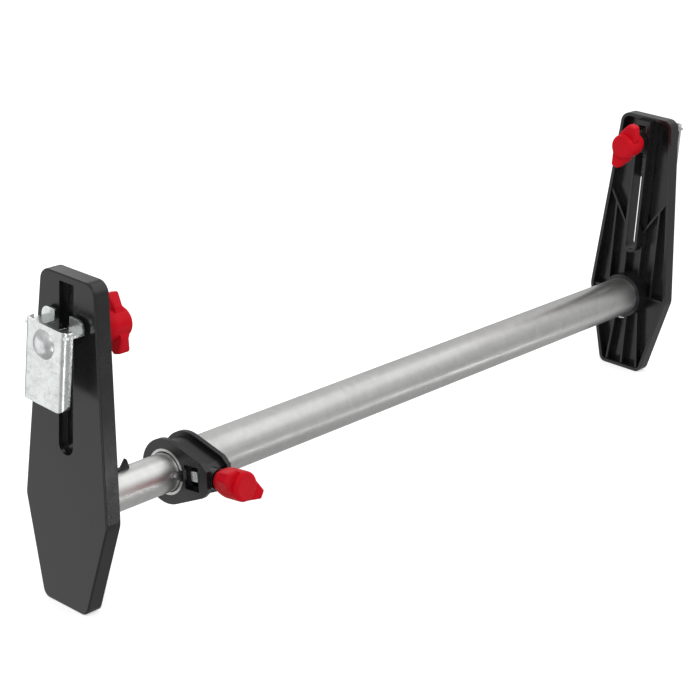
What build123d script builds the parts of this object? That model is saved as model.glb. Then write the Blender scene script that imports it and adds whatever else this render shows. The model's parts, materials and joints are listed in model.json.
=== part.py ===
"""Telescopic cargo bar: two end pads on sliding tubes, a lock collar and an edge clamp on each pad.

Frame: millimetres, +Z up, +X along the bar. The origin is on the tubes' axis at the left pad's outer face.
"""

from build123d import *
import math
import os

# ---- driving dimensions -------------------------------------------------------------------------

SPAN = 712.0  # outer face to outer face, as set

# End pads
PAD_DEPTH = 12.7
PAD_TOP = 171.0
PAD_BOTTOM = -74.2
PAD_HALF_TOP = 26.5
PAD_HALF_MIDDLE = 41.75
PAD_HALF_BOTTOM = 22.2
PAD_TOP_CORNER = 9.0
PAD_MIDDLE_CORNER = 14.0
PAD_BOTTOM_CORNER = 7.0
PAD_EDGE_ROUND = 1.4
PAD_PLATE = 3.2  # thickness of the outer plate
PAD_WALL = 3.0  # thickness of the rim
RIB = 2.0
RIB_DEPTH = 11.0
BRACE_TOP = (34.0, 101.5)  # where each sloping rib meets the rim
STRUT_Y = 8.0  # short upright ribs from the slot down to the socket
LONG_STRUT_Y = 23.5  # longer upright ribs from the sloping ribs down
LONG_STRUT_TOP = 85.0
LEG_RIB_TOP = 9.5
LEG_RIB_FOOT = 17.0

# Clamp slot in each pad
SLOT_HALF = 7.2
SLOT_LOW = 49.2  # centre of the slot's round lower end
SLOT_TOP = 166.0
SLOT_RECESS = 5.2
SLOT_WEB = 3.0
THROUGH_HALF = 4.5
RAIL_WALL = 2.8
RAIL_FOOT = 10.0  # half-width of the rails below the slot's web
RAIL_TOP = 18.0

# Tubes
INNER_RADIUS = 14.75
INNER_WALL = 1.5
INNER_LENGTH = 600.0
OUTER_RADIUS = 17.5
OUTER_WALL = 2.0
MOUTH_X = 95.5  # open end of the outer tube
SOCKET_WALL = 3.0
SOCKET_DEPTH = 24.0
GLIDE_GAP = 0.4
GLIDE_LENGTH = 25.0
GLIDE_FLANGE = 2.0

# Stop fin on top of the left socket: a thin tongue with a barb
TONGUE_HALF = 1.2
TONGUE_THICKNESS = 2.2
TONGUE_END = 58.2
BARB_HEIGHT = 8.0
BARB_PEAK = 55.0
BARB_START = 51.0
BARB_TIP = 0.8  # how much the barb's tip is cut back

# Tube screws, up into each socket
TUBE_SCREW_X = 18.5
THROUGH_CUT = 4  # length of a drill through a wall, in wall thicknesses
TUBE_SCREW_RADIUS = 1.75
TUBE_SCREW_HEAD = 3.6
TUBE_SCREW_HEAD_HEIGHT = 2.4
TUBE_SCREW_TIP = 4.0
TUBE_SCREW_POINT = 0.6
TUBE_SCREW_CROSS = 0.7

# M8 hardware
SHANK = 4.0
THREAD_GAP = 0.05
CLEAR_GAP = 0.45
NUT_FLATS = 13.0
NUT_HEIGHT = 6.5
NUT_TURN = 30.0
END_CHAMFER = 1.0

# Edge clamps
LEFT_CLAMP_Z = 127.4
RIGHT_CLAMP_Z = 148.7
JAW_STANDOFF = 20.0  # from the pad's outer face to the jaw's front face
JAW_WIDTH = 41.0
JAW_ABOVE = 14.1  # from the bolt up to the jaw's top edge
JAW_BELOW = 44.0
JAW_SHEET = 2.0
JAW_BEND_DEPTH = 7.5
JAW_BEND_ROUND = 6.0
JAW_CORNER = 5.0
JAW_LEAN = 3.0  # degrees about the bolt, as the loose jaw was left
FOOT_GAP = 2.6
LEG_INNER = 7.4
LEG_OUTER = 20.2
LEG_RISE = 11.0
FOOT_TOP = 19.0
FOOT_CORNER = 6.0
DOME_RADIUS = 10.3
DOME_HEIGHT = 4.9
NECK = 8.0
BOLT_LENGTH = 60.0
SPRING_RADIUS = 6.0
SPRING_WIRE = 0.6
SPRING_TURNS = 6
WASHER_RADIUS = 10.5
WASHER_THICKNESS = 1.6
BUSH_RADIUS = 6.8
BUSH_LENGTH = 4.6
SEAT_GAP = 0.1

# Wing knobs
HUB_BASE = 7.0
HUB_END = 11.2
HUB_SHOULDER = 11.3
HUB_BULGE = 0.8  # how far the hub's flank swells beyond a plain cone
HUB_HEIGHT = 27.0
HUB_ROUND = 3.0
WING_TIP = 21.3
WING_TIP_HALF = 3.2
WING_ROOT_HALF = 8.4
WING_LOW = 14.6
WING_HIGH = 25.8
WING_FALL = 3.0  # how much the wing's outer face drops towards the hub
WING_ROUND = 1.8
KNOB_BORE_DEPTH = 23.0
INSERT_RADIUS = 5.5
INSERT_LENGTH = 12.0
LEFT_WING_TURN = 17.8  # degrees from upright, seen along the knob's axis
RIGHT_WING_TURN = -19.0
COLLAR_WING_TURN = 147.4

# Lock collar
COLLAR_X = 96.0
COLLAR_LENGTH = 25.0
COLLAR_FLANGE = 4.0
COLLAR_RADIUS = 24.8
COLLAR_RECESS = 3.6
NOSE_END = 41.5
NOSE_SHOULDER = 36.0
NOSE_HALF_END = 7.8
NOSE_HALF_SHOULDER = 13.0
NOSE_TILT = 7.0  # degrees above level
BOSS_RADIUS = 8.0
BOSS_END = 43.4
SCREW_X = 106.5
COLLAR_NUT_Y = 24.5
NUT_POCKET_GAP = 0.3
POCKET_DEPTH = 4.6
POCKET_HALF = 9.2
POCKET_START = 18.8
POCKET_END = 33.0
SHOE_RADIUS = 3.8
SHOE_GAP = 0.35
SHOE_LENGTH = 3.2
TUBE_SLOT_HALF = 4.4
COLLAR_KNOB_BASE = 44.2
STUD_IN_KNOB = 21.0

KNOB_SEAT_X = RAIL_TOP + WASHER_THICKNESS + BUSH_LENGTH + 2 * SEAT_GAP
MIDDLE = Plane.YZ.offset(SPAN / 2)

# The collar's lock screw runs out along this direction, a little above level towards -Y
NOSE_DIRECTION = Vector(0, -math.cos(math.radians(NOSE_TILT)), math.sin(math.radians(NOSE_TILT)))


# ---- helpers ------------------------------------------------------------------------------------


def at_x(x):
    """The plane across the bar at x, with Y to the right and Z up."""
    return Plane.YZ.offset(x)


def along_nose(distance):
    """The plane across the lock screw at a distance from the tubes' axis, with X to the right."""
    return Plane(Vector(SCREW_X, 0, 0) + NOSE_DIRECTION * distance, x_dir=(1, 0, 0), z_dir=NOSE_DIRECTION)


def save(part, label):
    """Name the finished piece and write its STEP file."""
    part.label = label
    export_step(part, f"parts/{label}.step")


def pad_outline(inset):
    """The pad's six-sided outline with rounded corners, pulled in by inset."""
    corners = [
        (PAD_HALF_TOP, PAD_TOP),
        (PAD_HALF_MIDDLE, 0),
        (PAD_HALF_BOTTOM, PAD_BOTTOM),
        (-PAD_HALF_BOTTOM, PAD_BOTTOM),
        (-PAD_HALF_MIDDLE, 0),
        (-PAD_HALF_TOP, PAD_TOP),
    ]
    with BuildSketch() as outline:
        with BuildLine():
            Polyline(corners, close=True)
        make_face()
        rows = outline.vertices().group_by(Axis.Y)
        fillet(rows[-1], PAD_TOP_CORNER)
        rows = outline.vertices().group_by(Axis.Y)
        fillet(rows[0], PAD_BOTTOM_CORNER)
        fillet(outline.vertices().filter_by(lambda v: abs(v.Y) < 1), PAD_MIDDLE_CORNER)
        if inset:
            offset(amount=-inset)
    return outline.sketch


def slot_profile(half, top):
    """A slot with a round lower end and a flat top."""
    with BuildSketch() as profile:
        with Locations((0, SLOT_LOW)):
            Circle(half)
            Rectangle(2 * half, top - SLOT_LOW, align=(Align.CENTER, Align.MIN))
    return profile.sketch


# ---- end pads -----------------------------------------------------------------------------------


def rib_between(start, end):
    """One straight rib of the sheet's thickness between two points, for a sketch in progress."""
    run = Vector(*end) - Vector(*start)
    middle = (Vector(*start) + Vector(*end)) / 2
    turn = math.degrees(math.atan2(run.Y, run.X))
    with Locations(Location((middle.X, middle.Y), turn)):
        Rectangle(run.length, RIB)


def make_ribs():
    """Stiffening ribs inside the pad's rim, cut to the rim's inner outline."""
    inside = pad_outline(PAD_WALL / 2)
    with BuildPart() as ribs:
        with BuildSketch(at_x(PAD_PLATE)):
            rib_between((-PAD_HALF_MIDDLE, 0), (PAD_HALF_MIDDLE, 0))
            rib_between((0, 0), (0, PAD_BOTTOM))
            for side in (-1, 1):
                rib_between((0, SLOT_LOW), (side * BRACE_TOP[0], BRACE_TOP[1]))
                rib_between((side * STRUT_Y, 0), (side * STRUT_Y, SLOT_LOW))
                rib_between((side * LONG_STRUT_Y, 0), (side * LONG_STRUT_Y, LONG_STRUT_TOP))
                rib_between((side * LEG_RIB_TOP, 0), (side * LEG_RIB_FOOT, PAD_BOTTOM))
        extrude(amount=RIB_DEPTH - PAD_PLATE)
        with BuildSketch(at_x(0)):
            add(inside)
        extrude(amount=PAD_DEPTH, mode=Mode.INTERSECT)
    return ribs.part


def make_tongue(tube_radius):
    """Thin tongue along the top of the tube, with a barb at its free end."""
    top = tube_radius + TONGUE_THICKNESS
    with BuildPart() as tongue:
        with BuildSketch(Plane.XZ):
            with BuildLine():
                Polyline(
                    (PAD_PLATE, 0),
                    (TONGUE_END, 0),
                    (TONGUE_END, top - TONGUE_THICKNESS / 2),
                    (BARB_PEAK + BARB_TIP, tube_radius + BARB_HEIGHT - BARB_TIP),
                    (BARB_PEAK, tube_radius + BARB_HEIGHT),
                    (BARB_START, top),
                    (PAD_PLATE, top),
                    close=True,
                )
            make_face()
        extrude(amount=TONGUE_HALF, both=True)
    return tongue.part


def make_pad(tube_radius, tongue=None):
    """An end pad whose outer face is at x = 0: plate, rim, ribs, slot rails and tube socket."""
    ribs = make_ribs()
    outline = pad_outline(0)
    pocket = pad_outline(PAD_WALL)
    channel = slot_profile(RAIL_FOOT, PAD_TOP - PAD_WALL)
    rails = slot_profile(THROUGH_HALF + RAIL_WALL, PAD_TOP - PAD_WALL)
    recess = slot_profile(SLOT_HALF, SLOT_TOP)
    through = slot_profile(THROUGH_HALF, SLOT_TOP - SLOT_HALF + THROUGH_HALF)
    with BuildPart() as blank:
        with BuildSketch(at_x(0)):
            add(outline)
        extrude(amount=PAD_DEPTH)
        fillet(blank.faces().sort_by(Axis.X)[0].edges(), PAD_EDGE_ROUND)
        with BuildSketch(at_x(PAD_PLATE)):
            add(pocket)
        extrude(amount=PAD_DEPTH, mode=Mode.SUBTRACT)
        add(ribs)
        with BuildSketch(at_x(PAD_PLATE / 2)):
            add(channel)
        extrude(amount=SLOT_RECESS + SLOT_WEB - PAD_PLATE / 2)
        with BuildSketch(at_x(SLOT_RECESS)):
            add(rails)
        extrude(amount=RAIL_TOP - SLOT_RECESS)
        with BuildSketch(at_x(PAD_PLATE / 2)):
            Circle(tube_radius + SOCKET_WALL)
        extrude(amount=SOCKET_DEPTH - PAD_PLATE / 2)
        if tongue:
            add(tongue)
        with BuildSketch(at_x(PAD_PLATE)):
            Circle(tube_radius)
        extrude(amount=TONGUE_END, mode=Mode.SUBTRACT)
        with BuildSketch(at_x(0)):
            add(recess)
        extrude(amount=SLOT_RECESS, mode=Mode.SUBTRACT)
        with BuildSketch(at_x(0)):
            add(through)
        extrude(amount=RAIL_TOP, mode=Mode.SUBTRACT)
        with Locations(tube_screw_plane(tube_radius).location):
            Cylinder(
                TUBE_SCREW_RADIUS,
                SOCKET_WALL + 1,
                align=(Align.CENTER, Align.CENTER, Align.MIN),
                mode=Mode.SUBTRACT,
            )
    return blank.part


# ---- tubes and what holds them ------------------------------------------------------------------


def tube_screw_plane(tube_radius):
    """Where a tube screw's head meets the socket from below, looking up."""
    return Plane((TUBE_SCREW_X, 0, -tube_radius - SOCKET_WALL), z_dir=(0, 0, 1))


def make_tube_screw(tube_radius, wall):
    """Pan-head screw up through the socket into the tube's wall."""
    seat = tube_screw_plane(tube_radius)
    with BuildPart() as screw:
        with Locations(seat.location):
            Cylinder(TUBE_SCREW_RADIUS, SOCKET_WALL + wall, align=(Align.CENTER, Align.CENTER, Align.MIN))
        with Locations(seat.offset(SOCKET_WALL + wall).location):
            Cone(
                TUBE_SCREW_RADIUS,
                TUBE_SCREW_POINT,
                TUBE_SCREW_TIP,
                align=(Align.CENTER, Align.CENTER, Align.MIN),
            )
        with Locations(seat.location):
            Cylinder(TUBE_SCREW_HEAD, TUBE_SCREW_HEAD_HEIGHT, align=(Align.CENTER, Align.CENTER, Align.MAX))
        fillet(screw.edges().sort_by(Axis.Z)[0], TUBE_SCREW_HEAD_HEIGHT / 2)
        with BuildSketch(seat.offset(-TUBE_SCREW_HEAD_HEIGHT)):
            Rectangle(TUBE_SCREW_HEAD, TUBE_SCREW_CROSS)
            Rectangle(TUBE_SCREW_CROSS, TUBE_SCREW_HEAD)
        extrude(amount=TUBE_SCREW_HEAD_HEIGHT / 2, mode=Mode.SUBTRACT)
    return screw.part


def make_tube(start, end, radius, wall, screw_x, slot=False):
    """A round tube along X with its screw hole below and, on the outer tube, the lock slot."""
    with BuildPart() as tube:
        with BuildSketch(at_x(start)):
            Circle(radius)
            Circle(radius - wall, mode=Mode.SUBTRACT)
        extrude(amount=end - start)
        with Locations((screw_x, 0, -radius)):
            Cylinder(TUBE_SCREW_RADIUS, THROUGH_CUT * wall, mode=Mode.SUBTRACT)
        if slot:
            with BuildSketch(along_nose(0)):
                Circle(TUBE_SLOT_HALF)
                Rectangle(COLLAR_LENGTH, 2 * TUBE_SLOT_HALF, align=(Align.MAX, Align.CENTER))
            extrude(amount=2 * radius, mode=Mode.SUBTRACT)
    return tube.part


# ---- M8 hardware --------------------------------------------------------------------------------


def make_nut():
    """M8 hex nut standing on z = 0, with two of its flats facing along X."""
    with BuildPart() as nut:
        with BuildSketch(Plane.XY):
            RegularPolygon(NUT_FLATS / 2, 6, major_radius=False, rotation=NUT_TURN)
            Circle(SHANK + THREAD_GAP, mode=Mode.SUBTRACT)
        extrude(amount=NUT_HEIGHT)
    return nut.part


# ---- wing knob ----------------------------------------------------------------------------------


def make_wings():
    """The knob's two wings as one tapering blade across the hub's end, its edges rounded."""
    with BuildPart() as wings:
        with BuildSketch(Plane.XY.offset(WING_LOW)):
            with BuildLine():
                Polyline(
                    (0, WING_ROOT_HALF),
                    (HUB_END, WING_ROOT_HALF),
                    (WING_TIP, WING_TIP_HALF),
                    (WING_TIP, -WING_TIP_HALF),
                    (HUB_END, -WING_ROOT_HALF),
                    (0, -WING_ROOT_HALF),
                    close=True,
                )
            make_face()
            mirror(about=Plane.YZ)
        extrude(amount=WING_HIGH - WING_LOW)
        with BuildSketch(Plane.XZ):
            with BuildLine():
                Polyline(
                    (0, WING_LOW),
                    (WING_TIP, WING_LOW),
                    (WING_TIP, WING_HIGH),
                    (HUB_END, WING_HIGH - WING_FALL),
                    (0, WING_HIGH - WING_FALL),
                    close=True,
                )
            make_face()
            mirror(about=Plane.YZ)
        extrude(amount=2 * WING_ROOT_HALF, both=True, mode=Mode.INTERSECT)
        fillet(wings.edges().filter_by(lambda e: abs(e.center().X) > HUB_END), WING_ROUND)
    return wings.part


def make_knob(bore, insert_length):
    """Wing knob standing on z = 0, wings along X, with a blind bore and a pocket for its insert."""
    wings = make_wings()
    flank = (HUB_BASE + HUB_END) / 2 + HUB_BULGE
    with BuildPart() as knob:
        with BuildSketch(Plane.XZ):
            with BuildLine():
                Line((0, 0), (HUB_BASE, 0))
                ThreePointArc((HUB_BASE, 0), (flank, HUB_SHOULDER / 2), (HUB_END, HUB_SHOULDER))
                Line((HUB_END, HUB_SHOULDER), (HUB_END, HUB_HEIGHT - HUB_ROUND))
                RadiusArc((HUB_END, HUB_HEIGHT - HUB_ROUND), (HUB_END - HUB_ROUND, HUB_HEIGHT), -HUB_ROUND)
                Polyline((HUB_END - HUB_ROUND, HUB_HEIGHT), (0, HUB_HEIGHT), (0, 0))
            make_face()
        revolve(axis=Axis.Z)
        add(wings)
        with BuildSketch(Plane.XY):
            Circle(bore)
        extrude(amount=KNOB_BORE_DEPTH, mode=Mode.SUBTRACT)
        if insert_length:
            with BuildSketch(Plane.XY):
                Circle(INSERT_RADIUS)
            extrude(amount=insert_length, mode=Mode.SUBTRACT)
    return knob.part


def make_insert():
    """Threaded bush that fills the pocket in a clamp knob's base."""
    with BuildPart() as insert:
        with BuildSketch(Plane.XY):
            Circle(INSERT_RADIUS)
            Circle(SHANK + THREAD_GAP, mode=Mode.SUBTRACT)
        extrude(amount=INSERT_LENGTH)
    return insert.part


# ---- edge clamp, around a bolt on the X axis with the pad's outer face at x = 0 ------------------


def rolled_section(front, half_width, depth, radius):
    """Cross-section of a sheet or its hollow: a block whose two front corners are rounded."""
    with BuildSketch() as section:
        with Locations((front, 0)):
            Rectangle(depth, 2 * half_width, align=(Align.MIN, Align.CENTER))
        fillet(section.vertices().group_by(Axis.X)[0], radius)
    return section.sketch


def make_jaw():
    """Pressed jaw: a plate with rolled sides, and two legs back to feet that straddle the slot."""
    front = -JAW_STANDOFF
    half = JAW_WIDTH / 2
    tall = JAW_ABOVE + JAW_BELOW
    outside = rolled_section(front, half, JAW_BEND_DEPTH, JAW_BEND_ROUND)
    inside = rolled_section(front + JAW_SHEET, half - JAW_SHEET, JAW_BEND_DEPTH, JAW_BEND_ROUND - JAW_SHEET)
    leg_middle = (LEG_INNER + LEG_OUTER) / 2
    leg_width = LEG_OUTER - LEG_INNER
    leg_under = LEG_RISE - JAW_SHEET
    with BuildPart() as jaw:
        with BuildSketch(Plane.XY.offset(-JAW_BELOW)):
            add(outside)
        extrude(amount=tall)
        with BuildSketch(Plane.XY.offset(-JAW_BELOW)):
            add(inside)
        extrude(amount=tall, mode=Mode.SUBTRACT)
        with BuildSketch(at_x(front)) as plate:
            with Locations((0, -JAW_BELOW)):
                Rectangle(JAW_WIDTH, tall, align=(Align.CENTER, Align.MIN))
            fillet(plate.vertices().group_by(Axis.Y)[0], JAW_CORNER)
            fillet(plate.vertices().group_by(Axis.Y)[-1], JAW_CORNER / 2)
        extrude(amount=JAW_BEND_DEPTH, mode=Mode.INTERSECT)
        with BuildSketch(Plane.XY.offset(leg_under)):
            with Locations((front + JAW_SHEET / 2, -leg_middle), (front + JAW_SHEET / 2, leg_middle)):
                Rectangle(JAW_STANDOFF - JAW_SHEET / 2 - FOOT_GAP, leg_width, align=(Align.MIN, Align.CENTER))
        extrude(amount=JAW_SHEET)
        with BuildSketch(at_x(-FOOT_GAP)) as feet:
            with Locations((-leg_middle, leg_under), (leg_middle, leg_under)):
                Rectangle(leg_width, FOOT_TOP - leg_under, align=(Align.CENTER, Align.MIN))
            top = feet.vertices().group_by(Axis.Y)[-1].sort_by(Axis.X)
            fillet([top[0], top[-1]], FOOT_CORNER)
        extrude(amount=-JAW_SHEET)
        with BuildSketch(at_x(front)):
            Rectangle(NECK, NECK)
        extrude(amount=JAW_SHEET, mode=Mode.SUBTRACT)
    return jaw.part


def make_clamp_bolt():
    """Carriage bolt: low dome, square neck in the jaw, shank through the slot."""
    front = -JAW_STANDOFF
    end = front + BOLT_LENGTH
    with BuildPart() as bolt:
        with BuildSketch(Plane.XY):
            with BuildLine():
                TangentArc((front - DOME_HEIGHT, 0), (front, DOME_RADIUS), tangent=(0, 1))
                Polyline(
                    (front, DOME_RADIUS),
                    (front, SHANK),
                    (end - END_CHAMFER, SHANK),
                    (end, SHANK - END_CHAMFER),
                    (end, 0),
                    (front - DOME_HEIGHT, 0),
                )
            make_face()
        revolve(axis=Axis.X)
        with BuildSketch(at_x(front)):
            Rectangle(NECK, NECK)
        extrude(amount=JAW_SHEET)
    return bolt.part


def make_spring():
    """Compression spring between the slot's web and the back of the jaw's plate."""
    start = JAW_SHEET - JAW_STANDOFF + SPRING_WIRE + SEAT_GAP
    end = SLOT_RECESS - SPRING_WIRE - SEAT_GAP
    with BuildPart() as spring:
        with BuildLine() as coil:
            Helix(
                (end - start) / SPRING_TURNS,
                end - start,
                SPRING_RADIUS,
                center=(start, 0, 0),
                direction=(1, 0, 0),
            )
        with BuildSketch(Plane(coil.line @ 0, z_dir=coil.line % 0)):
            Circle(SPRING_WIRE)
        sweep()
    return spring.part


def make_washer():
    """Flanged bush that slides on the slot's rails under the knob."""
    with BuildPart() as washer:
        with BuildSketch(at_x(RAIL_TOP + SEAT_GAP)):
            Circle(WASHER_RADIUS)
            Circle(SHANK + CLEAR_GAP, mode=Mode.SUBTRACT)
        extrude(amount=WASHER_THICKNESS)
        with BuildSketch(at_x(RAIL_TOP + SEAT_GAP + WASHER_THICKNESS)):
            Circle(BUSH_RADIUS)
            Circle(SHANK + CLEAR_GAP, mode=Mode.SUBTRACT)
        extrude(amount=BUSH_LENGTH)
    return washer.part


def at_height(part, height, lean=0):
    """The same piece moved up to a clamp's height, leaning about its bolt."""
    with BuildPart() as moved:
        with Locations(Location((0, 0, height), (lean, 0, 0))):
            add(part)
    return moved.part


def on_knob_axis(part, height, turn):
    """A knob's piece laid along +X on a clamp's bolt, its wings turned from upright."""
    across = (0, math.sin(math.radians(turn)), math.cos(math.radians(turn)))
    seat = Plane((KNOB_SEAT_X, 0, height), x_dir=across, z_dir=(1, 0, 0))
    with BuildPart() as moved:
        with Locations(seat.location):
            add(part)
    return moved.part


def mirrored(part):
    """The same piece on the right end of the bar."""
    with BuildPart() as image:
        mirror(part, about=MIDDLE)
    return image.part


# ---- lock collar --------------------------------------------------------------------------------


def collar_outline(inset):
    """Round at the tube, drawn out to a blunt nose towards -Y."""
    with BuildSketch() as outline:
        Circle(COLLAR_RADIUS)
        with BuildLine():
            Polyline(
                (-NOSE_SHOULDER, NOSE_HALF_SHOULDER),
                (-NOSE_END, NOSE_HALF_END),
                (-NOSE_END, -NOSE_HALF_END),
                (-NOSE_SHOULDER, -NOSE_HALF_SHOULDER),
                close=True,
            )
        make_face()
        make_hull(outline.edges())
        if inset:
            offset(amount=-inset)
    return outline.sketch


def make_collar():
    """Collar around the outer tube's mouth: two flanges, a waist, a nut pocket and the nose's boss."""
    flange = collar_outline(0)
    waist = collar_outline(COLLAR_RECESS)
    nut_half = NUT_FLATS / math.sqrt(3) + NUT_POCKET_GAP
    with BuildPart() as collar:
        with BuildSketch(at_x(COLLAR_X)):
            add(waist)
        extrude(amount=COLLAR_LENGTH)
        with BuildSketch(at_x(COLLAR_X), at_x(COLLAR_X + COLLAR_LENGTH - COLLAR_FLANGE)):
            add(flange)
        extrude(amount=COLLAR_FLANGE)
        with BuildSketch(Plane.XZ.offset(NOSE_SHOULDER)):
            with Locations((SCREW_X, 0)):
                Circle(BOSS_RADIUS)
        extrude(amount=BOSS_END - NOSE_SHOULDER)
        with BuildSketch(at_x(COLLAR_X)):
            Circle(OUTER_RADIUS)
        extrude(amount=COLLAR_LENGTH, mode=Mode.SUBTRACT)
        with BuildSketch(Plane.XZ):
            with Locations((SCREW_X, 0)):
                Circle(SHANK + CLEAR_GAP)
        extrude(amount=BOSS_END, mode=Mode.SUBTRACT)
        with BuildSketch(Plane.XZ.offset(COLLAR_NUT_Y - NUT_HEIGHT / 2)):
            with Locations((COLLAR_X, 0)):
                Rectangle(SCREW_X + NUT_FLATS / 2 - COLLAR_X, 2 * nut_half, align=(Align.MIN, Align.CENTER))
        extrude(amount=NUT_HEIGHT, mode=Mode.SUBTRACT)
        with BuildSketch(Plane.XZ.offset(POCKET_START)):
            with Locations((COLLAR_X, 0)):
                Rectangle(POCKET_DEPTH, 2 * POCKET_HALF, align=(Align.MIN, Align.CENTER))
        extrude(amount=POCKET_END - POCKET_START, mode=Mode.SUBTRACT)
    with BuildPart() as tilted:
        with Locations(Location((0, 0, 0), (-NOSE_TILT, 0, 0))):
            add(collar.part)
    return tilted.part


def along_screw(part, distance, turn=0):
    """A piece that stands on z = 0, set on the lock screw's axis at a distance, facing outwards."""
    with BuildPart() as moved:
        with Locations(along_nose(distance).location * Location((0, 0, 0), (0, 0, turn))):
            add(part)
    return moved.part


# ---- the left end: pad, inner tube and what turns with them --------------------------------------

os.makedirs("parts", exist_ok=True)

left_tongue = make_tongue(INNER_RADIUS)
save(make_pad(INNER_RADIUS, left_tongue), "left_end_pad")
inner_end = PAD_PLATE + INNER_LENGTH
save(make_tube(PAD_PLATE, inner_end, INNER_RADIUS, INNER_WALL, TUBE_SCREW_X), "inner_tube")
save(make_tube_screw(INNER_RADIUS, INNER_WALL), "left_tube_screw")

with BuildPart() as glide:
    with BuildSketch(at_x(inner_end - GLIDE_LENGTH)):
        Circle(INNER_RADIUS - INNER_WALL)
    extrude(amount=GLIDE_LENGTH)
    with BuildSketch(at_x(inner_end)):
        Circle(OUTER_RADIUS - OUTER_WALL - GLIDE_GAP)
    extrude(amount=GLIDE_FLANGE)
save(glide.part, "inner_tube_glide")

# ---- the right end: pad and outer tube ----------------------------------------------------------

outer_end = SPAN - PAD_PLATE
outer_screw_x = SPAN - TUBE_SCREW_X
save(mirrored(make_pad(OUTER_RADIUS)), "right_end_pad")
save(make_tube(MOUTH_X, outer_end, OUTER_RADIUS, OUTER_WALL, outer_screw_x, slot=True), "outer_tube")
save(mirrored(make_tube_screw(OUTER_RADIUS, OUTER_WALL)), "right_tube_screw")

# ---- the two edge clamps ------------------------------------------------------------------------

clamp_knob = make_knob(SHANK + CLEAR_GAP, INSERT_LENGTH)
on_slot = {
    "clamp_jaw": make_jaw(),
    "clamp_bolt": make_clamp_bolt(),
    "clamp_spring": make_spring(),
    "clamp_washer": make_washer(),
}
on_bolt = {"clamp_knob": clamp_knob, "knob_insert": make_insert()}

for name, piece in on_slot.items():
    lean = JAW_LEAN if name in ("clamp_jaw", "clamp_bolt") else 0
    save(at_height(piece, LEFT_CLAMP_Z, lean), f"left_{name}")
    save(mirrored(at_height(piece, RIGHT_CLAMP_Z)), f"right_{name}")

for name, piece in on_bolt.items():
    save(on_knob_axis(piece, LEFT_CLAMP_Z, LEFT_WING_TURN), f"left_{name}")
    save(mirrored(on_knob_axis(piece, RIGHT_CLAMP_Z, RIGHT_WING_TURN)), f"right_{name}")

# ---- lock collar and its screw ------------------------------------------------------------------

save(make_collar(), "lock_collar")
save(along_screw(make_nut(), COLLAR_NUT_Y - NUT_HEIGHT / 2), "collar_nut")
save(along_screw(make_knob(SHANK, 0), COLLAR_KNOB_BASE, COLLAR_WING_TURN), "collar_knob")

shoe_face = INNER_RADIUS + SHOE_GAP
with BuildPart() as shoe:
    with BuildSketch(along_nose(shoe_face)):
        Circle(SHOE_RADIUS)
    extrude(amount=SHOE_LENGTH)
save(shoe.part, "collar_pressure_shoe")

with BuildPart() as stud:
    with BuildSketch(along_nose(shoe_face + SHOE_LENGTH)):
        Circle(SHANK)
    extrude(amount=COLLAR_KNOB_BASE + STUD_IN_KNOB - shoe_face - SHOE_LENGTH)
save(stud.part, "collar_screw")
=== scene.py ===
import json
import math

import bpy
from mathutils import Matrix, Vector


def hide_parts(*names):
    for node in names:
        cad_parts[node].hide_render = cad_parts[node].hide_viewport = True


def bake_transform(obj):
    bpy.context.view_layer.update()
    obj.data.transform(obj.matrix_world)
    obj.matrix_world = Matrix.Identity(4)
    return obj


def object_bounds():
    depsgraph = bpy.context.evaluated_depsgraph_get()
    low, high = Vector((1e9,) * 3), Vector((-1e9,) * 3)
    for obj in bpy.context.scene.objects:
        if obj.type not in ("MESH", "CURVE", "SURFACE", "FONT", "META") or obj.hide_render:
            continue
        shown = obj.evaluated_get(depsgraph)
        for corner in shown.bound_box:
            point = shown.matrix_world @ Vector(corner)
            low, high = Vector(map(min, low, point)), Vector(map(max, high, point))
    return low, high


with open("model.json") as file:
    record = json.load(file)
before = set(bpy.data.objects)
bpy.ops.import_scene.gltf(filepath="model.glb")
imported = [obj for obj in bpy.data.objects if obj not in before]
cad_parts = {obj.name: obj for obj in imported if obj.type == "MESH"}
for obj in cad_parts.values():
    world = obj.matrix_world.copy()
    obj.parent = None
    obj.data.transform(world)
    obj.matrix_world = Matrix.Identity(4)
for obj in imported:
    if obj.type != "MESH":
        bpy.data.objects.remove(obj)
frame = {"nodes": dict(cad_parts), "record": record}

CAD_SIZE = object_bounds()
MM = 0.001
WHITE = (1, 1, 1, 1)


# ---- camera, light and floor --------------------------------------------------------------------

CAMERA_PLACE = Vector((-0.812, -0.9223, 0.5934))
CAMERA_YAW = 0.6944  # from +X towards +Y
CAMERA_PITCH = 0.3658  # down
CAMERA_ROLL = 0.0593
CAMERA_LENS = 100.5
CAMERA_SHIFT_Y = 0.0047
CAMERA_SENSOR = 36.0

SKY_LOW, SKY_HIGH = -0.4, 0.9  # heights of the surroundings' dim and bright ends, as direction z
SKY_DIM, SKY_BRIGHT = 0.40, 0.66

BAR_START = (0, 0, 0.05)
BAR_NEAR = (0.1, 0, 0)
# name, place, point it is aimed at, width, height, radiance
LIGHT_CARDS = (
    ("left_low", (-0.66, 0.54, -0.2), BAR_START, 1.3, 1.0, 0.57),
    ("top_left", (0.6, -0.26, 0.62), BAR_NEAR, 0.9, 0.7, 0.62),
    ("front_high", (-0.9, -1.1, 1.3), (0.1, 0, 0.05), 0.8, 0.8, 2.4),
    ("back_high", (0.5, 1.2, 0.9), (0.4, 0, 0.05), 1.2, 0.7, 0.8),
    ("front_low", (-0.62, -0.74, -0.33), BAR_START, 0.16, 0.5, 3.5),
    ("tube_line", (0.72, -0.62, -0.26), BAR_NEAR, 0.9, 0.03, 5.0),
)

FLOOR_REACH = 6.0
FLOOR_SHADE = 0.9
FLOOR_GLOW = 0.55


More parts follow.
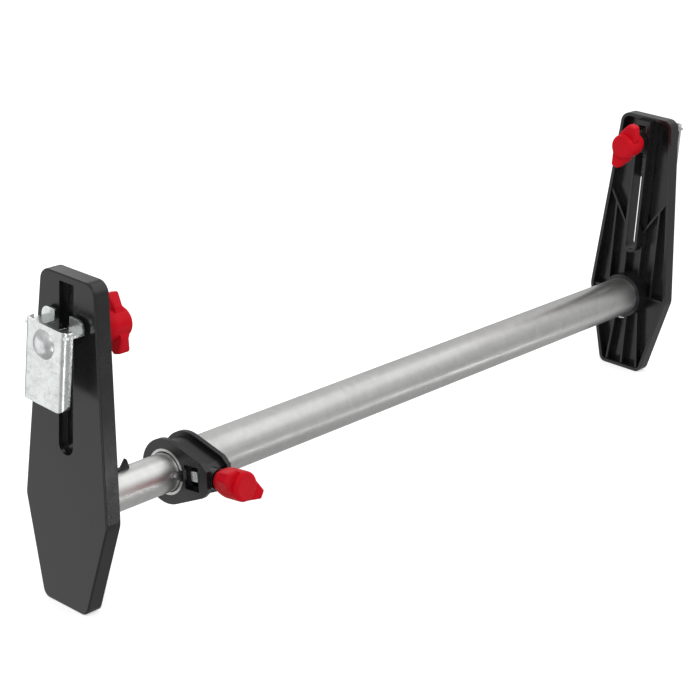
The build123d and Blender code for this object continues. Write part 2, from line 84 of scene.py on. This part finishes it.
def make_camera():
    """The camera on the bar's left, front, upper side."""
    forward = Vector((
        math.cos(CAMERA_YAW) * math.cos(CAMERA_PITCH),
        math.sin(CAMERA_YAW) * math.cos(CAMERA_PITCH),
        -math.sin(CAMERA_PITCH),
    ))
    level = Vector((math.sin(CAMERA_YAW), -math.cos(CAMERA_YAW), 0))
    above = level.cross(forward)
    right = level * math.cos(CAMERA_ROLL) + above * math.sin(CAMERA_ROLL)
    up = above * math.cos(CAMERA_ROLL) - level * math.sin(CAMERA_ROLL)
    data = bpy.data.cameras.new("camera")
    data.lens = CAMERA_LENS
    data.sensor_width = CAMERA_SENSOR
    data.shift_y = CAMERA_SHIFT_Y
    camera = bpy.data.objects.new("camera", data)
    bpy.context.scene.collection.objects.link(camera)
    turn = Matrix((right, up, -forward)).transposed()
    camera.matrix_world = Matrix.Translation(CAMERA_PLACE) @ turn.to_4x4()
    bpy.context.scene.camera = camera


def card(name, place, aim, width, height, radiance):
    """A rectangular light card aimed at a point; radiance 1 is as bright as white paper."""
    data = bpy.data.lights.new(name, "AREA")
    data.shape = "RECTANGLE"
    data.size = width
    data.size_y = height
    data.energy = radiance * math.pi * width * height
    light = bpy.data.objects.new(name, data)
    bpy.context.scene.collection.objects.link(light)
    light.location = place
    light.rotation_euler = (Vector(aim) - Vector(place)).to_track_quat("-Z", "Y").to_euler()
    light.visible_camera = False


def make_lights():
    """White surroundings, dimmer low down, and a few soft light cards."""
    world = bpy.data.worlds.new("studio")
    bpy.context.scene.world = world
    world.use_nodes = True
    nodes = world.node_tree.nodes
    links = world.node_tree.links
    around = nodes["Background"]
    place = nodes.new("ShaderNodeTexCoord")
    parts = nodes.new("ShaderNodeSeparateXYZ")
    links.new(place.outputs["Generated"], parts.inputs["Vector"])
    rise = nodes.new("ShaderNodeMapRange")
    rise.interpolation_type = "SMOOTHSTEP"
    rise.inputs["From Min"].default_value = SKY_LOW
    rise.inputs["From Max"].default_value = SKY_HIGH
    rise.inputs["To Min"].default_value = SKY_DIM
    rise.inputs["To Max"].default_value = SKY_BRIGHT
    links.new(parts.outputs["Z"], rise.inputs["Value"])
    links.new(rise.outputs["Result"], around.inputs["Strength"])
    around.inputs["Color"].default_value = WHITE
    seen = nodes.new("ShaderNodeBackground")
    seen.inputs["Color"].default_value = WHITE
    path = nodes.new("ShaderNodeLightPath")
    mix = nodes.new("ShaderNodeMixShader")
    links.new(path.outputs["Is Camera Ray"], mix.inputs["Fac"])
    links.new(around.outputs["Background"], mix.inputs[1])
    links.new(seen.outputs["Background"], mix.inputs[2])
    links.new(mix.outputs["Shader"], nodes["World Output"].inputs["Surface"])
    for setting in LIGHT_CARDS:
        card(*setting)


def make_floor():
    """Plain white floor under the pads' feet, which only the camera sees."""
    low = CAD_SIZE[0][2]
    mesh = bpy.data.meshes.new("floor")
    corners = [
        (-FLOOR_REACH, -FLOOR_REACH, low),
        (FLOOR_REACH, -FLOOR_REACH, low),
        (FLOOR_REACH, FLOOR_REACH, low),
        (-FLOOR_REACH, FLOOR_REACH, low),
    ]
    mesh.from_pydata(corners, [], [(0, 1, 2, 3)])
    floor = bpy.data.objects.new("floor", mesh)
    bpy.context.scene.collection.objects.link(floor)
    material = bpy.data.materials.new("floor_white")
    material.use_nodes = True
    surface = material.node_tree.nodes["Principled BSDF"]
    surface.inputs["Base Color"].default_value = (FLOOR_SHADE, FLOOR_SHADE, FLOOR_SHADE, 1)
    surface.inputs["Roughness"].default_value = FLOOR_SHADE
    surface.inputs["Specular IOR Level"].default_value = 0.0
    surface.inputs["Emission Color"].default_value = WHITE
    surface.inputs["Emission Strength"].default_value = FLOOR_GLOW
    mesh.materials.append(material)
    floor.visible_diffuse = False
    floor.visible_glossy = False
    floor.visible_shadow = False


# ---- materials ----------------------------------------------------------------------------------


BEVEL_SAMPLES = 6
CLOUD = (0.3, 0.7)  # the part of a noise's range that is used
LINES = (0.35, 0.65)


class Surface:
    """A material being wired up: one principled shader with a bevel, a bump and a few patterns."""

    def __init__(self, name, edge=0.4):
        self.material = bpy.data.materials.new(name)
        self.material.use_nodes = True
        self.nodes = self.material.node_tree.nodes
        self.links = self.material.node_tree.links
        self.shader = self.nodes["Principled BSDF"]
        self.place = self.add("ShaderNodeTexCoord").outputs["Object"]
        rounded = self.add("ShaderNodeBevel")
        rounded.samples = BEVEL_SAMPLES
        rounded.inputs["Radius"].default_value = edge * MM
        self.normal = rounded.outputs["Normal"]
        self.links.new(self.normal, self.shader.inputs["Normal"])

    def add(self, kind):
        return self.nodes.new(kind)

    def set(self, **values):
        """Plain values on the shader's sockets, such as roughness=0.4."""
        for name, value in values.items():
            self.shader.inputs[name.replace("_", " ").title()].default_value = value

    def stretched(self, along=(1, 1, 1)):
        """The object's coordinates, scaled along each axis."""
        mapping = self.add("ShaderNodeMapping")
        mapping.inputs["Scale"].default_value = along
        self.links.new(self.place, mapping.inputs["Vector"])
        return mapping.outputs["Vector"]

    def noise(self, scale, detail=3.0, roughness=0.55, along=(1, 1, 1)):
        """Noise in the object's own space; scale is in features per metre."""
        texture = self.add("ShaderNodeTexNoise")
        texture.inputs["Scale"].default_value = scale
        texture.inputs["Detail"].default_value = detail
        texture.inputs["Roughness"].default_value = roughness
        self.links.new(self.stretched(along), texture.inputs["Vector"])
        return texture.outputs["Fac"]

    def cells(self, scale, along=(1, 1, 1)):
        """Irregular cells, one random shade each."""
        texture = self.add("ShaderNodeTexVoronoi")
        texture.inputs["Scale"].default_value = scale
        self.links.new(self.stretched(along), texture.inputs["Vector"])
        return texture.outputs["Color"]

    def band(self, value, low, high, out_low=0.0, out_high=1.0):
        """A value stretched from low..high to a new range, clamped."""
        spread = self.add("ShaderNodeMapRange")
        spread.inputs["From Min"].default_value = low
        spread.inputs["From Max"].default_value = high
        spread.inputs["To Min"].default_value = out_low
        spread.inputs["To Max"].default_value = out_high
        self.links.new(value, spread.inputs["Value"])
        return spread.outputs["Result"]

    def blend(self, factor, first, second):
        """A colour between two colours; each may be a colour or another node's output."""
        mix = self.add("ShaderNodeMix")
        mix.data_type = "RGBA"
        self.links.new(factor, mix.inputs["Factor"])
        for socket, colour in ((mix.inputs[6], first), (mix.inputs[7], second)):
            if isinstance(colour, tuple):
                socket.default_value = (*colour, 1)
            else:
                self.links.new(colour, socket)
        return mix.outputs[2]

    def colour(self, value):
        self.links.new(value, self.shader.inputs["Base Color"])

    def rough(self, value):
        self.links.new(value, self.shader.inputs["Roughness"])

    def bump(self, value, height, strength=0.5):
        """Raises the surface by a pattern; height in millimetres."""
        relief = self.add("ShaderNodeBump")
        relief.inputs["Distance"].default_value = height * MM
        relief.inputs["Strength"].default_value = strength
        self.links.new(value, relief.inputs["Height"])
        self.links.new(self.normal, relief.inputs["Normal"])
        self.normal = relief.outputs["Normal"]
        self.links.new(self.normal, self.shader.inputs["Normal"])


def black_plastic(name, shade, roughness, grain):
    """Moulded black plastic with a fine spark-eroded grain and slow shine changes."""
    surface = Surface(name)
    tone = surface.noise(35, detail=4)
    dark = tuple(channel * 0.85 for channel in shade)
    light = tuple(channel * 1.2 for channel in shade)
    surface.colour(surface.blend(tone, dark, light))
    shine = surface.noise(60, detail=5)
    surface.rough(surface.band(shine, *CLOUD, roughness - 0.06, roughness + 0.08))
    surface.bump(surface.noise(1800, detail=2), grain, 0.35)
    surface.bump(surface.noise(22, detail=1), 0.12, 0.25)
    return surface.material


def red_plastic(name):
    """Semi-gloss red plastic, slightly uneven."""
    surface = Surface(name, edge=0.7)
    tone = surface.noise(90, detail=3)
    surface.colour(surface.blend(tone, (0.64, 0.004, 0.013), (0.80, 0.009, 0.024)))
    surface.rough(surface.band(surface.noise(140, detail=4), *CLOUD, 0.30, 0.42))
    surface.bump(surface.noise(1500, detail=2), 0.02, 0.3)
    surface.bump(surface.noise(60, detail=1), 0.10, 0.3)
    surface.shader.inputs["Specular IOR Level"].default_value = 0.08  # nearly matt
    return surface.material


def drawn_tube(name, shade, roughness):
    """Galvanised steel tube: lengthwise drawing lines, faint spangle and cloudy shine."""
    surface = Surface(name, edge=0.2)
    lines = surface.noise(900, detail=4, along=(0.012, 1, 1))
    spangle = surface.cells(160)
    dark = tuple(channel * 0.93 for channel in shade)
    light = tuple(min(1.0, channel * 1.05) for channel in shade)
    base = surface.blend(spangle, dark, light)
    groove = tuple(channel * 0.8 for channel in shade)
    surface.colour(surface.blend(surface.band(lines, *LINES, 0.0, 0.25), base, groove))
    cloud = surface.noise(28, detail=4, along=(0.4, 1, 1))
    surface.rough(surface.band(cloud, *CLOUD, roughness - 0.05, roughness + 0.07))
    surface.bump(lines, 0.02, 0.35)
    surface.set(metallic=1.0, coat_weight=0.5, coat_roughness=0.06)
    return surface.material


def zinc(name, shade, roughness, relief=0.25):
    """Bright zinc plate on steel: cloudy patches, crystal flecks, fine scratches and soft dents."""
    surface = Surface(name, edge=0.35)
    cloud = surface.noise(110, detail=6, roughness=0.7)
    flecks = surface.cells(420)
    dark = tuple(channel * 0.70 for channel in shade)
    pale = tuple(min(1.0, channel * 1.06) for channel in shade)
    patchy = surface.blend(surface.band(cloud, 0.35, 0.62), dark, shade)
    surface.colour(surface.blend(surface.band(flecks, 0.2, 0.8, 0.0, 0.5), patchy, pale))
    surface.rough(surface.band(cloud, *CLOUD, roughness + 0.10, roughness - 0.04))
    surface.bump(surface.noise(700, detail=3, along=(1, 0.08, 1)), 0.015, 0.25)
    surface.bump(surface.noise(190, detail=3), relief * 0.3, 0.5)
    surface.bump(surface.noise(55, detail=2), relief, 0.45)
    surface.set(metallic=1.0)
    return surface.material


def turned_brass(name):
    """Turned brass with fine rings."""
    surface = Surface(name, edge=0.2)
    rings = surface.noise(1500, detail=2, along=(1, 0.05, 0.05))
    surface.colour(surface.blend(rings, (0.62, 0.44, 0.18), (0.78, 0.6, 0.3)))
    surface.rough(surface.band(rings, *CLOUD, 0.22, 0.36))
    surface.bump(rings, 0.02, 0.3)
    surface.set(metallic=1.0)
    return surface.material


def make_materials():
    """One finished material for each of the record's slots."""
    return {
        "pad_plastic": black_plastic("pad_plastic", (0.011, 0.011, 0.0125), 0.22, 0.012),
        "collar_plastic": black_plastic("collar_plastic", (0.007, 0.007, 0.008), 0.30, 0.03),
        "glide_plastic": black_plastic("glide_plastic", (0.02, 0.02, 0.02), 0.5, 0.02),
        "red_plastic": red_plastic("red_plastic"),
        "outer_tube_steel": drawn_tube("outer_tube_steel", (0.66, 0.66, 0.65), 0.42),
        "inner_tube_steel": drawn_tube("inner_tube_steel", (0.74, 0.74, 0.73), 0.36),
        "zinc_plate": zinc("zinc_plate", (0.84, 0.87, 0.86), 0.24, relief=0.5),
        "zinc_hardware": zinc("zinc_hardware", (0.84, 0.85, 0.86), 0.26),
        "spring_steel": zinc("spring_steel", (0.55, 0.55, 0.56), 0.3),
        "insert_brass": turned_brass("insert_brass"),
    }


def dress_frame(materials):
    """Gives every carried-over CAD node the material of its slot."""
    slot_of = {part["node"]: part["material_slot"] for part in frame["record"]["subparts"]}
    for name, node in frame["nodes"].items():
        material = materials[slot_of[name]]
        for index in range(len(node.material_slots)):
            node.material_slots[index].material = material


def stretch_springs(materials):
    """A fixed copy of each clamp's coil between the swivel and the jaw, in spring steel; the CAD
    spring is hidden.
    """
    for side, outer, inner in (("left", 0, 1), ("right", 1, 0)):
        node = frame["nodes"][side + "_clamp_spring"]
        coil = bpy.data.objects.new(side + "_coil", node.data.copy())
        bpy.context.scene.collection.objects.link(coil)
        coil.matrix_world = node.matrix_world.copy()
        coil.data.materials.clear()
        coil.data.materials.append(materials["spring_steel"])
        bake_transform(coil)
        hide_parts(side + "_clamp_spring")


bpy.context.scene.view_settings.view_transform = "Standard"
make_camera()
make_lights()
make_floor()
finishes = make_materials()
dress_frame(finishes)
stretch_springs(finishes)
